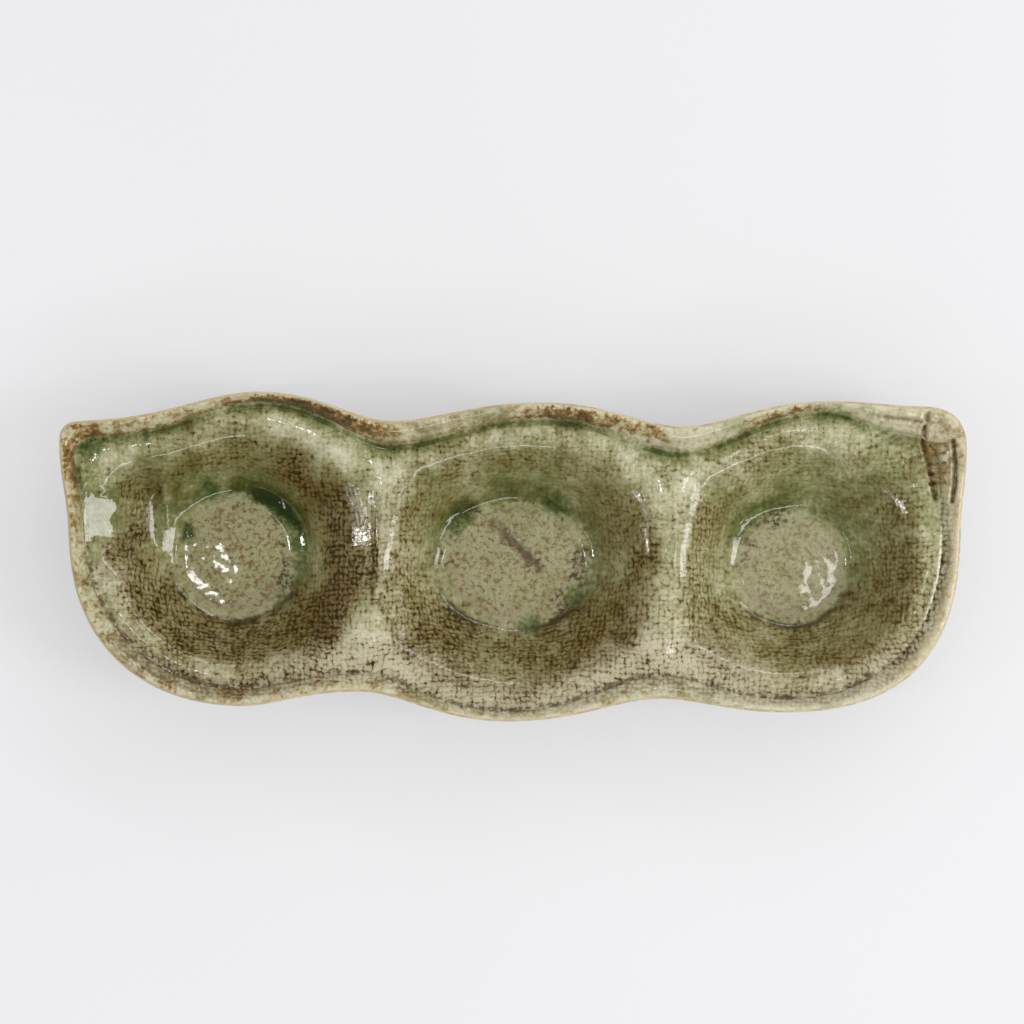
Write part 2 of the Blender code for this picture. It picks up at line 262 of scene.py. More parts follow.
# %% Pull the flange in and ease the groove
FLANGE_INSET = 1.6 * MM
POD_END = 112 * MM
END_SLANT = 0.35
GROOVE_LEVEL = 25.2 * MM
GROOVE_KEPT = 0.35
STEM_FILL = 2.2 * MM
STEM_X = (96.0, 110.0)

body = quad_copy("dish_body", "pod_body")
cage = places_of(body)
inset = distance_to(cage, OUTLINE)
for index in np.flatnonzero(inset < FLANGE_INSET):
    gaps = OUTLINE - cage[index, :2]
    nearest = OUTLINE[np.argmin(np.hypot(gaps[:, 0], gaps[:, 1]))]
    towards = Vector((math.copysign(END_SLANT, -nearest[0]), math.copysign(1.0, -nearest[1])))
    if abs(nearest[0]) > POD_END:
        towards = Vector((math.copysign(1.0, -nearest[0]), math.copysign(END_SLANT, -nearest[1])))
    cage[index, :2] += np.array(towards.normalized()) * (FLANGE_INSET - inset[index])
signed = distance_to(cage, GROOVE) * np.where(inside(cage, GROOVE), 1, -1)
by_groove = (signed > -1.2 * MM) & (cage[:, 2] > GROOVE_LEVEL - 2.0 * MM)
fade = np.clip((9.0 * MM - signed) / (4.0 * MM), 0, 1) * (1 - GROOVE_KEPT)
by_stem = np.clip((cage[:, 0] / MM - STEM_X[0]) / (STEM_X[1] - STEM_X[0]), 0, 1)
by_stem = by_stem * np.clip(1.6 - cage[:, 1] / (12 * MM), 0, 1)
level = GROOVE_LEVEL + STEM_FILL * by_stem
cage[:, 2] += np.where(by_groove, (level - cage[:, 2]) * fade, 0)
move_to(body, cage)
rounded(body, 2)

# %% [markdown]
# The feet, the pools and the bead of glaze need no fitting yet.

# %% Copy the feet, the pools and the bead of glaze
FEET = ("left_foot_ring", "middle_foot_ring", "right_foot_ring")
POOLS = ("left_glaze_pool", "middle_left_glaze_pool", "middle_right_glaze_pool", "right_glaze_pool")

feet = {node: rounded(quad_copy(node, node.replace("ring", "clay")), 2) for node in FEET}
pools = {node: rounded(quad_copy(node, node.replace("pool", "glass")), 3) for node in POOLS}
bead = rounded(quad_copy("back_groove_glaze", "back_groove_glass"), 3)

# %% [markdown]
# ## The three wells
#
# A foot ring stands under the middle of each well, so its box gives the well's centre. A
# place's share of a well runs from 0 in the middle of the floor to 2 at the brink.

# %% Measure the wells
FLOOR_SIZES = {"left": (16.5, 16.5), "middle": (20.0, 16.8), "right": (15.0, 15.0)}
WALL_RUN = 21.0 * MM

wells = []
for side, (half_length, half_width) in FLOOR_SIZES.items():
    low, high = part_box(side + "_foot_ring")
    wells.append(((low.x + high.x) / 2, (low.y + high.y) / 2, half_length * MM, half_width * MM))
print("well centres", [(round(x / MM, 1), round(y / MM, 1)) for x, y, _, _ in wells])


def well_share(points):
    """0 in the middle of the nearest floor, 1 at its edge and 2 at the well's brink."""
    best = np.full(len(points), 9.0)
    for x, y, half_length, half_width in wells:
        across = np.hypot((points[:, 0] - x) / half_length, (points[:, 1] - y) / half_width)
        reach = np.hypot(points[:, 0] - x, points[:, 1] - y)
        edge = reach / np.maximum(across, 1e-6)
        best = np.minimum(best, np.where(across < 1, across, 1 + (reach - edge) / WALL_RUN))
    return best


# %% [markdown]
# A pool of glaze is known by how thick it stands on the clay. That is read off before the
# clay is changed, so that each pool can be laid back on it afterwards.

# %% Measure how thick the poured glaze stands
def surface_of(piece):
    """A tree that finds the nearest place on a piece."""
    return BVHTree.FromPolygons(
        [v.co for v in piece.data.vertices], [p.vertices for p in piece.data.polygons]
    )


def depth_over(tree, piece):
    """How far each vertex of a piece stands off the clay, along the clay's own slope."""
    depths = []
    for place in places_of(piece):
        found, slope, _, _ = tree.find_nearest(Vector(place))
        depths.append((Vector(place) - found).dot(slope))
    return np.array(depths)


poured = {**pools, "back_groove_glaze": bead}
crisp_clay = surface_of(body)
stands = {node: depth_over(crisp_clay, piece) for node, piece in poured.items()}
print("poured glaze stands, mm:", [round(d.max() / MM, 2) for d in stands.values()])

# %% [markdown]
# ## Soften the clay
#
# The solids have crisp steps at the groove and round each floor. Under a flowing glaze these
# are soft, so the vertices there are chosen by their place and smoothed.

# %% Smooth chosen places
def soften(piece, chosen, rounds):
    """Smooths the chosen vertices of a piece a number of times."""
    choose(piece, chosen)
    bpy.ops.mesh.vertices_smooth(factor=0.5, repeat=rounds)
    bpy.ops.object.mode_set(mode="OBJECT")
    print(piece.name, int(chosen.sum()), "vertices softened")


places = places_of(body)
on_top = (normals_of(body)[:, 2] > 0.1) & (places[:, 2] > 6 * MM)
from_rim = distance_to(places, OUTLINE)
shares = well_share(places)
soften(body, on_top & (from_rim > 2.5 * MM) & (from_rim < 11 * MM) & (shares > 1.5), 14)
soften(body, on_top & (shares < 1.5), 30)

# %% [markdown]
# Two places were pushed further. Beside the tip the wall of the left well starts right
# at the groove, in a flat facet. The crest between the left well and the middle one leans to
# the right, so it is sharp.

# %% Lean the left shoulder and the first crest
def ease(values, low, high):
    """0 below low and 1 above high, eased between."""
    share = np.clip((values - low) / (high - low), 0, 1)
    return share * share * (3 - 2 * share)


def hump(values, middle, width):
    """1 in the middle and 0 far off, on a flat-topped bell."""
    return np.exp(-(((values - middle) / width) ** 4))


FACET_X = [-119 * MM, -111 * MM, -97 * MM]
FACET_Z = [25.0 * MM, 20.4 * MM, 9.3 * MM]
FACET_LEAN = 0.10
CREST_SHIFT = 3.2 * MM

places = places_of(body)
along = ease(places[:, 0], -120.5 * MM, -118.0 * MM) * (1 - ease(places[:, 0], -101 * MM, -96 * MM))
share = np.where(on_top, along * hump(places[:, 1], 10 * MM, 11.5 * MM), 0)
facet = np.interp(places[:, 0], FACET_X, FACET_Z) + FACET_LEAN * (places[:, 1] - 10 * MM)
places[:, 2] += share * (facet - places[:, 2])
bell = np.exp(-(((places[:, 0] + 43 * MM) / (5 * MM)) ** 2)) * hump(places[:, 1], 0, 24 * MM)
places[:, 0] += np.where(on_top, CREST_SHIFT * bell, 0)
move_to(body, places)
soften(body, on_top & (share > 0.02), 4)

# %% [markdown]
# A slow noise and a quicker one, over the body and the lip alike, then give the unevenness of
# a slab that was pressed by hand.

# %% Give the top an uneven hand
def unevenness(place):
    """How far the hand left a place high or low."""
    slow = noise.noise(Vector(place[:2]).to_3d() / (15 * MM))
    quick = noise.noise(Vector(place[:2]).to_3d() / (6 * MM) + Vector((7, 3, 1)))
    return 0.32 * MM * slow + 0.13 * MM * quick


def press_by_hand(piece):
    """Moves a piece up and down by the unevenness of the slab."""
    places = places_of(piece)
    share = np.clip((places[:, 2] - 5 * MM) / (6 * MM), 0, 1)
    lift = np.array([unevenness(place) for place in places])
    places[:, 2] += lift * share
    move_to(piece, places)
    print(piece.name, "moved by hand up to", round(abs(lift).max() / MM, 2), "mm")


for piece in (body, lip):
    press_by_hand(piece)

# %% [markdown]
# The stem end was pinched with the cloth still on it. It keeps a notch and folds where two
# strips of clay meet, a scored line along the broad lip, rungs between them, and pleats of
# cloth in the groove. Each is a path in plan, pressed into the vertices near it.

# %% Score the stem end
STEM_CORNER = (97 * MM, 8 * MM)
LIP_CORNER = (108 * MM, 12 * MM)
STEM_LINE = [(120.6, 31.6), (121.2, 26.0), (121.2, 20.0), (120.4, 15.0)]
STEM_FOLD = [(113.0, 35.4), (112.9, 31.1), (114.9, 22.6), (116.3, 15.7)]
STEM_NOTCH = [(114.0, 39.4), (113.4, 37.4)]
BACK_FOLD = [(102.0, 38.0), (107.4, 37.6), (111.8, 36.8)]
STEM_RUNGS = (30.6, 28.0, 25.3, 22.6, 19.9)
PLEATS = 4
BURR = 0.22


def refine(piece, corner, cuts):
    """Splits the faces of a piece behind and to the right of a corner."""
    places = places_of(piece)
    upward = normals_of(piece)[:, 2] > 0.1
    choose(piece, upward & (places[:, 0] > corner[0]) & (places[:, 1] > corner[1]))
    bpy.ops.mesh.subdivide(number_cuts=cuts)
    bpy.ops.object.mode_set(mode="OBJECT")
    print(piece.name, len(piece.data.polygons), "faces")


def score(piece, path, width, depth):
    """Presses a line with a burr along a path and returns how deep each vertex went, in mm."""
    places = places_of(piece)
    near = distance_to(places, np.array(path) * MM, closed=False)
    normals = normals_of(piece)
    facing_up = np.clip(normals[:, 2] * 2, 0, 1)
    pressed = np.exp(-((near / (width * MM)) ** 2)) * facing_up
    thrown_up = BURR * np.exp(-(((near - 1.8 * width * MM) / (0.8 * width * MM)) ** 2)) * facing_up
    move_to(piece, places - normals * (depth * MM * (pressed - thrown_up))[:, None])
    return pressed * depth


def score_stem(piece):
    """Makes every mark of the stem end on one piece."""
    marks = [(STEM_LINE, 0.55, 0.9), (STEM_FOLD, 0.70, 0.9)]
    marks += [(STEM_NOTCH, 0.95, 0.8), (BACK_FOLD, 0.60, 0.6)]
    for rung in STEM_RUNGS:
        marks.append(([(114.8, rung), (118.4, rung + 0.4)], 0.45, 0.5))
    for pleat in range(PLEATS):
        x, y = 99.6 + 2.8 * pleat, 33.0 - 2.4 * pleat
        marks.append(([(x, y), (x + 4.2, y + 2.0)], 0.5, 0.45))
    return sum(score(piece, *mark) for mark in marks)


refine(body, STEM_CORNER, 2)
refine(lip, LIP_CORNER, 1)
scored = {piece.name: score_stem(piece) for piece in (lip, body)}

# %% [markdown]
# ## Lay the poured glaze back
#
# A pool of glaze has no edge of its own: it thins out to nothing on the glaze under it. Each
# pool is laid on the softened clay and sunk until only its swollen middle stands proud.

# %% Lay the pools and the bead on the clay
POOL_SWELLS = {"left_glaze_pool": 0.95 * MM, "right_glaze_pool": 0.52 * MM}
THIN_SWELL = 0.46 * MM
POOL_SINK = 0.28 * MM
BEAD_SINK = 0.40 * MM


def pool_lens(places):
    """1 in the middle of a pool and 0 along its edge, from its reach round its well."""
    x, y = places[:, 0].mean(), places[:, 1].mean()
    well = min(wells, key=lambda w: math.hypot(w[0] - x, w[1] - y))
    turn = math.atan2(y - well[1], x - well[0])
    angle = np.arctan2(places[:, 1] - well[1], places[:, 0] - well[0]) - turn
    angle = (angle + math.pi) % (2 * math.pi)
    reach = well_share(places)
    shares = [(row - row.min()) / np.ptp(row) for row in (angle, reach)]
    return np.clip(16 * shares[0] * (1 - shares[0]) * shares[1] * (1 - shares[1]), 0, 1) ** 0.8


clay = surface_of(body)
for node, piece in poured.items():
    places = places_of(piece)
    upper = stands[node] > 0.45 * MM
    level = stands[node] - BEAD_SINK
    if piece is not bead:
        swell = POOL_SWELLS.get(node, THIN_SWELL)
        level = np.where(upper, swell * pool_lens(places) - POOL_SINK, -0.8 * MM)
    for index, place in enumerate(places):
        found, slope, _, _ = clay.find_nearest(Vector(place))
        places[index] = found + slope * level[index]
    move_to(piece, places)
    print(piece.name, "stands proud by", round(level.max() / MM, 2), "mm")

# %% [markdown]
# ## What the glaze needs to know
#
# The finish reads a few numbers from each vertex: how far it is from the rim and from the
# groove, how near a well's floor, how hollow or how sharp the clay is there, and where the
# threads of the cloth run. They are worked out once here and kept as attributes.

# %% Find hollows and edges
def hollowness(piece, rounds=26):
    """How far a smoothed copy of the piece stands off it: above 0 in a hollow."""
    pairs = np.empty(2 * len(piece.data.edges), dtype=int)
    piece.data.edges.foreach_get("vertices", pairs)
    first, second = pairs.reshape(-1, 2).T
    places = places_of(piece)
    count = np.bincount(first, minlength=len(places)) + np.bincount(second, minlength=len(places))
    smooth = places.copy()
    for _ in range(rounds):
        total = np.zeros_like(smooth)
        for axis in range(3):
            total[:, axis] += np.bincount(first, smooth[second, axis], len(places))
            total[:, axis] += np.bincount(second, smooth[first, axis], len(places))
        smooth = total / count[:, None]
    return np.einsum("ij,ij->i", smooth - places, normals_of(piece))


# %% [markdown]
# The cloth was pressed into the wells, so its threads crowd together in plan where a wall is
# steep. The clay's height on a grid of millimetres gives the length of thread over each step.
# Each row is then eased so that it still meets the rim, and each brink between two wells, where
# it did. Those places are counted in steps of the grid.

# %% Lay the cloth over the clay
STEP = 1.0 * MM
rim = surface_of(lip)
grid_x = np.arange(-130, 131) * STEP
grid_y = np.arange(-52, 53) * STEP
heights = np.zeros((len(grid_x), len(grid_y)))
for i, x in enumerate(grid_x):
    for j, y in enumerate(grid_y):
        hits = [tree.ray_cast(Vector((x, y, 0.1)), Vector((0, 0, -1)))[0] for tree in (clay, rim)]
        heights[i, j] = max([hit.z for hit in hits if hit], default=0.024)
for _ in range(2):
    for axis in (0, 1):
        heights = (np.roll(heights, 1, axis) + 2 * heights + np.roll(heights, -1, axis)) / 4


def thread_run(levels, anchors):
    """Extra thread used up to each step, eased to nothing at the anchors."""
    extra = np.cumsum(np.hypot(STEP, np.diff(levels, axis=0, prepend=levels[:1])) - STEP, axis=0)
    eased = np.empty_like(extra)
    for low, high in zip(anchors, anchors[1:]):
        share = ease(np.arange(low, high + 1), low, high)[:, None]
        level = extra[low] + (extra[high] - extra[low]) * share
        eased[low:high + 1] = extra[low:high + 1] - level
    return eased


BRINKS_X = [0, 14, 91, 169, 246, len(grid_x) - 1]
BRINKS_Y = [0, 14, 90, len(grid_y) - 1]
shift_x = thread_run(heights, BRINKS_X)
shift_y = thread_run(heights.T.copy(), BRINKS_Y).T
print("thread taken up in the wells, mm:", round(np.ptp(shift_x) / MM, 1), round(np.ptp(shift_y) / MM, 1))


def read_grid(grid, points):
    """The value of a grid at each point, between its corners."""
    i = np.clip((points[:, 0] - grid_x[0]) / STEP, 0, len(grid_x) - 1.001)
    j = np.clip((points[:, 1] - grid_y[0]) / STEP, 0, len(grid_y) - 1.001)
    a, b = i.astype(int), j.astype(int)
    s, t = i - a, j - b
    near = grid[a, b] * (1 - s) + grid[a + 1, b] * s
    far = grid[a, b + 1] * (1 - s) + grid[a + 1, b + 1] * s
    return near * (1 - t) + far * t


# %% [markdown]
# The rest is distances. The glaze that ran down a wall needs a place of its own, which changes
# round the well but hardly down it.

# %% Write the attributes
FLOW_RADIUS = 14 * MM


def write(piece, name, values):
    """Keeps one number, or one vector, for each vertex."""
    kind = "FLOAT" if values.ndim == 1 else "FLOAT_VECTOR"
    attribute = piece.data.attributes.new(name, kind, "POINT")
    attribute.data.foreach_set("value" if values.ndim == 1 else "vector", values.ravel())


pool_places = np.concatenate([places_of(pool) for pool in pools.values()])
pool_tree = KDTree(len(pool_places))
for index, place in enumerate(pool_places):
    pool_tree.insert(place, index)
pool_tree.balance()


def flow_of(places):
    """A place that changes round the nearest well but little down its wall, as runs of glaze do."""
    centres = np.array([well[:2] for well in wells])
    gaps = places[:, None, :2] - centres[None]
    reach = np.hypot(gaps[..., 0], gaps[..., 1])
    nearest = reach.argmin(axis=1)
    rows = np.arange(len(places))
    flow = np.zeros_like(places)
    flow[:, :2] = gaps[rows, nearest] / reach[rows, nearest, None] * FLOW_RADIUS
    flow[:, :2] += centres[nearest]
    flow[:, 2] = reach[rows, nearest] * 0.2
    return flow


def measure(piece):
    """Writes what the glaze reads on one piece, in millimetres."""
    places = places_of(piece)
    normals = normals_of(piece)
    groove = distance_to(places, GROOVE) * np.where(inside(places, GROOVE), 1, -1)
    cloth = np.zeros_like(places)
    cloth[:, 0] = places[:, 0] + read_grid(shift_x, places)
    cloth[:, 1] = places[:, 1] + read_grid(shift_y, places)
    drop = read_grid(heights, places) - places[:, 2]
    below = np.maximum(ease(drop, 1.2 * MM, 3.6 * MM), ease(-normals[:, 2], 0.0, 0.3))
    write(piece, "edge", distance_to(places, OUTLINE) / MM)
    write(piece, "groove", groove / MM)
    write(piece, "well", well_share(places))
    write(piece, "cloth", cloth / MM)
    write(piece, "under", below)
    write(piece, "facing", normals)
    write(piece, "flow", flow_of(places) / MM)
    gaps = [pool_tree.find(place)[2] for place in places]
    write(piece, "pool_gap", np.array(gaps) / MM)
    print(piece.name, "measured at", len(places), "vertices")


for piece in (body, lip):
    measure(piece)
    write(piece, "hollow", hollowness(piece) / MM)
    write(piece, "depth", np.full(len(piece.data.vertices), -1.0))
    write(piece, "scored", scored[piece.name])
for piece in poured.values():
    measure(piece)
    write(piece, "hollow", np.full(len(piece.data.vertices), 0.3))
    write(piece, "depth", depth_over(clay, piece) / MM)
    write(piece, "scored", np.zeros(len(piece.data.vertices)))

# %% [markdown]
# ## Writing a finish as sums
#
# A finish is a chain of small sums: how thick the glaze is, how much iron shows. A little
# class lets those sums be written as Python.

# %% A class for shader values
class Value:
    """A socket that can be added, multiplied and compared like a number."""

    def __init__(self, finish, socket):
        self.finish = finish
        self.socket = socket

    def maths(self, operation, *others):
        return self.finish.node("ShaderNodeMath", {"operation": operation}, dict(enumerate(others)))

    def __add__(self, other):
        return self.maths("ADD", self, other)

    __radd__ = __add__

    def __sub__(self, other):
        return self.maths("SUBTRACT", self, other)

    def __rsub__(self, other):
        return self.maths("SUBTRACT", other, self)

    def __mul__(self, other):
        return self.maths("MULTIPLY", self, other)

    __rmul__ = __mul__

    def __truediv__(self, other):
        return self.maths("DIVIDE", self, other)

    def __neg__(self):
        return self.maths("MULTIPLY", self, -1.0)

    def __abs__(self):
        return self.maths("ABSOLUTE", self)

    def larger(self, other):
        return self.maths("MAXIMUM", self, other)

    def smaller(self, other):
        return self.maths("MINIMUM", self, other)


# %% [markdown]
# A second class holds the nodes of one finish. One method adds any node, and the others name
# the few that are used often.

# %% A class for finishes
def shade(red, green, blue):
    """A colour as it shows on screen, 0 to 255, for a shader socket."""
    linear = []
    for part in (red, green, blue):
        part /= 255
        linear.append(part / 12.92 if part <= 0.04045 else ((part + 0.055) / 1.055) ** 2.4)
    return (*linear, 1.0)


class Finish:
    """The nodes of one material, or of the world, built one by one."""

    def __init__(self, owner):
        self.owner = owner
        owner.use_nodes = True
        self.tree = owner.node_tree
        self.tree.nodes.clear()

    def node(self, kind, settings=None, sockets=None, output=0):
        """Adds a node: its settings first, then the values or links of its sockets."""
        made = self.tree.nodes.new(kind)
        for key, value in (settings or {}).items():
            if key == "stops":
                ramp = made.color_ramp
                while len(ramp.elements) < len(value):
                    ramp.elements.new(0.5)
                for element, (position, colour) in zip(ramp.elements, value):
                    element.position = position
                    element.color = colour
            else:
                setattr(made, key, value)
        for key, value in (sockets or {}).items():
            if isinstance(value, Value):
                self.tree.links.new(value.socket, made.inputs[key])
            else:
                made.inputs[key].default_value = value
        return Value(self, made.outputs[output]) if made.outputs else None

    def kept(self, name, output="Fac"):
        """A number, or a vector, kept on the vertices."""
        return self.node("ShaderNodeAttribute", {"attribute_name": name}, output=output)

    def place(self):
        """Where the surface is, in millimetres."""
        metres = self.node("ShaderNodeTexCoord", output="Object")
        return self.node("ShaderNodeVectorMath", {"operation": "SCALE"}, {0: metres, "Scale": 1 / MM})

    def parts(self, vector):
        """The three numbers of a vector."""
        made = self.tree.nodes.new("ShaderNodeSeparateXYZ")
        self.tree.links.new(vector.socket, made.inputs[0])
        return [Value(self, socket) for socket in made.outputs]

    def step(self, value, low, high):
        """0 below low and 1 above high, eased between."""
        sockets = {"Value": value, "From Min": low, "From Max": high}
        return self.node("ShaderNodeMapRange", {"interpolation_type": "SMOOTHSTEP"}, sockets)

    def cloud(self, vector, size, detail=2.0, roughness=0.5):
        """Soft noise from about -1 to 1, with lumps of one size in millimetres."""
        lumps = self.node(
            "ShaderNodeTexNoise",
            {"noise_dimensions": "3D"},
            {"Vector": vector, "Scale": 1.0 / size, "Detail": detail, "Roughness": roughness},
        )
        return (lumps - 0.5) * 4.0

    def mix(self, share, first, second):
        """One colour fading into another."""
        sockets = {"Factor": share, 6: first, 7: second}
        return self.node("ShaderNodeMix", {"data_type": "RGBA"}, sockets, output=2)

    def vectors(self, operation, *values):
        """Sums on whole vectors."""
        return self.node("ShaderNodeVectorMath", {"operation": operation}, dict(enumerate(values)))

    def tint(self, colour, value):
        """A colour made lighter and darker by a number that is 0.5 on average."""
        settings = {"data_type": "RGBA", "blend_type": "OVERLAY"}
        return self.node("ShaderNodeMix", settings, {"Factor": 1.0, 6: colour, 7: value}, output=2)

    def ramp(self, value, stops):
        """A colour looked up on a ramp."""
        return self.node("ShaderNodeValToRGB", {"stops": stops}, {0: value})

    def bump(self, height, depth):
        """A normal that follows a height, whose full step is a depth in millimetres."""
        return self.node("ShaderNodeBump", {}, {"Height": height, "Distance": depth * MM})

    def surface(self, **sockets):
        """Ends the chain in a surface."""
        names = {"colour": "Base Color", "roughness": "Roughness", "normal": "Normal"}
        sockets = {names.get(key, key): value for key, value in sockets.items()}
        shader = self.node("ShaderNodeBsdfPrincipled", {}, sockets)
        self.node("ShaderNodeOutputMaterial", {}, {0: shader})
        return self.owner


# %% [markdown]
# ## The cloth glaze
#
# Every layer of the glaze reads the same ground: where the surface is and how it faces, how
# far it is from the rim, the groove, a well and a pool, four noises from patches down to grain,
# and the runs of glaze.

# %% Read the ground
def spot_reach(finish, g, x, y, size):
    """1 in the middle of a round spot and 0 outside it, with a ragged edge."""
    flat = finish.vectors("MULTIPLY", g.place, (1.0, 1.0, 0.0))
    gap = finish.node(
        "ShaderNodeVectorMath", {"operation": "DISTANCE"}, {0: flat, 1: (x, y, 0.0)}, "Value"
    )
    return finish.step(1.0 - gap / size + g.blots * 0.2, 0.0, 0.8)


def ground(finish):
    """What every layer of the glaze reads, in millimetres."""
    g = SimpleNamespace()
    g.place = finish.place()
    g.x, g.y, _ = finish.parts(g.place)
    g.nx, g.ny, _ = finish.parts(finish.kept("facing", "Vector"))
    for name in ("edge", "groove", "well", "hollow", "under", "depth", "pool_gap", "scored"):
        setattr(g, name, finish.kept(name))

    g.patches = finish.cloud(g.place, 12.0, 3.0)
    g.blots = finish.cloud(g.place, 4.0, 4.0, 0.6)
    g.flecks = finish.cloud(g.place, 1.3, 3.0, 0.6)
    g.grain = finish.cloud(g.place, 0.42, 2.0, 0.7)
    g.runs = finish.cloud(finish.kept("flow", "Vector"), 3.2, 3.0)

    ragged = g.well + g.blots * 0.07 + g.flecks * 0.05 + g.patches * 0.04
    g.floor = finish.step(1.08 - ragged, 0.0, 0.22)
    g.upper = finish.step(g.well, 1.22, 1.60) * finish.step(2.2 - g.well, 0.0, 0.35)
    g.lower = finish.step(g.well, 0.98, 1.10) * (1.0 - finish.step(g.well, 1.22, 1.60))
    g.faces_back = finish.step(g.ny, 0.05, 0.45)
    g.faces_front = finish.step(-g.ny, 0.05, 0.45)
    g.faces_left = finish.step(-g.nx, 0.05, 0.45)
    g.faces_right = finish.step(g.nx, 0.05, 0.45)
    g.at_stem = finish.step(g.x, *STEM_X)
    g.back = finish.step(g.y, 8.0, 26.0)
    worn = (g.blots * 0.8 + g.flecks * 0.7 - (1.0 - g.back) * 2.4) * g.at_stem
    g.on_lip = finish.step(worn - g.groove, -0.2 - g.at_stem * 1.2, 0.5 + g.at_stem * 1.2)
    g.rolled = finish.step(-g.groove, -0.5, 1.0) * g.at_stem * (1.0 - g.back)
    g.right = finish.step(g.x, -90.0, 120.0)
    g.front_shoulder = finish.step(g.well, 1.65, 2.0) * finish.step(-g.y, 16.0, 28.0)
    g.facet = spot_reach(finish, g, -114.0, 12.0, 11.0)
    return g


# %% [markdown]
# The cloth left rows of small pillows in the clay, one for each crossing of its threads, and
# the iron wash stayed in the hollows between them. Each pillow is a cell of a loose grid laid
# along the cloth. Two stretched noises, one along each thread, break the hollows into short
# dashes, and more of them show where the wash was heavy: on the walls that face left and back.

# %% Draw the iron in the weave
THREAD = 1.40
LOOSENESS = 0.40
DASH_WIDTH = 0.66
DASH_LENGTH = 1.40


def laid_cloth(finish, g):
    """The cloth's own directions, drifted as a hand-laid cloth is."""
    laid = finish.kept("cloth", "Vector")
    for size, drift in ((9.0, 3.0), (1.7, 1.0)):
        pull = finish.node(
            "ShaderNodeTexNoise", {}, {"Vector": g.place, "Scale": 1 / size, "Detail": 1.5}, "Color"
        )
        laid = finish.vectors("MULTIPLY_ADD", pull, (drift, drift, 0.0), laid)
    return laid


def iron_heaviness(finish, g):
    """How heavy the wash of iron is, from 0 to about 1."""
    low = 0.45 * g.faces_back + 0.14 * g.faces_left + 0.12 * g.faces_right - 0.05 * g.faces_front
    high = 0.36 + (0.42 - 0.24 * g.right) * g.faces_left + 0.10 * g.faces_back
    high = high + 0.14 * g.faces_right - 0.08 * g.faces_front
    heavy = (0.22 + g.lower * (low + 0.10 * g.right) + g.upper * high) * (1.1 - g.right * 0.25)
    heavy = heavy + finish.step(g.x, 100.0, 112.0) * 0.2 + g.front_shoulder * 0.20 + g.rolled * 0.30
    heavy = heavy + g.patches * 0.24 + g.blots * 0.22 + g.on_lip * (1.0 - g.back) * 0.25
    heavy = heavy - finish.step(-g.hollow, 0.04, 0.50) * (1.0 - g.on_lip) * (0.15 - g.right * 0.16)
    off_glass = (1.0 - g.floor) * (1.0 - finish.step(g.depth, -0.4, 0.1))
    off_lip = 1.0 - g.on_lip * g.back * 0.6
    return heavy.smaller(1.0) * off_glass * off_lip * (1.0 - g.facet * 0.8)


def iron_in_weave(finish, g):
    """The iron, 1 where it is darkest, and how far each place is from the top of its pillow."""
    laid = laid_cloth(finish, g)
    reach = finish.node(
        "ShaderNodeTexVoronoi",
        {"voronoi_dimensions": "2D", "feature": "F1"},
        {"Vector": laid, "Scale": 1 / THREAD, "Randomness": LOOSENESS},
        "Distance",
    )
    dip = (reach - 0.4) * 3.0
    lean = (abs(g.nx) - abs(g.ny)) * 0.3
    across = finish.vectors("MULTIPLY", laid, (1 / DASH_WIDTH, 1 / DASH_LENGTH, 1.0))
    along = finish.vectors("MULTIPLY", laid, (1 / DASH_LENGTH, 1 / DASH_WIDTH, 1.0))
    warp = finish.cloud(across, 1.0, 3.0, 0.65) + lean
    weft = finish.cloud(along, 1.0, 3.0, 0.65) - lean
    on_flat = 1.0 - g.upper - g.lower
    dashes = warp.larger(weft) * 0.62 + dip * (0.37 + on_flat * 0.38)
    dashes = dashes + g.flecks * 0.36 + g.grain * 0.42 + g.heavy * 1.2 + on_flat * 0.06 - 0.91
    return finish.step(dashes, -0.36, 0.74), dip


# %% [markdown]
# The glaze is tan where it is thin, on edges and crests, and runs through grey-green to
# bottle green where it ran together: in the groove at the back, down the back walls, in the
# pools and in a few spots beside them.

# %% Find how thick the glaze is
# Each spot has its x, y and size in millimetres, and how much thicker the glaze is there.
GREEN_SPOTS = (
    (-91.4, 6.6, 3.6, 0.42),
    (-84.3, 17.5, 6.0, 0.14),
    (-64.6, -12.4, 4.0, 0.25),
    (-115.5, 30.0, 5.5, 0.16),
    (11.0, 13.6, 5.0, 0.26),
    (5.0, -19.4, 5.0, 0.24),
    (-14.2, 9.4, 5.0, 0.19),
    (17.3, -11.1, 4.2, 0.16),
)
# A paler spot on the first crest, with x, y and size in millimetres: thinner glaze, and a painted
# highlight in place of the lamp's reflection there.
THIN_GLAZE_AND_HIGHLIGHT_CREST = (-37.0, 0.0, 15.0)


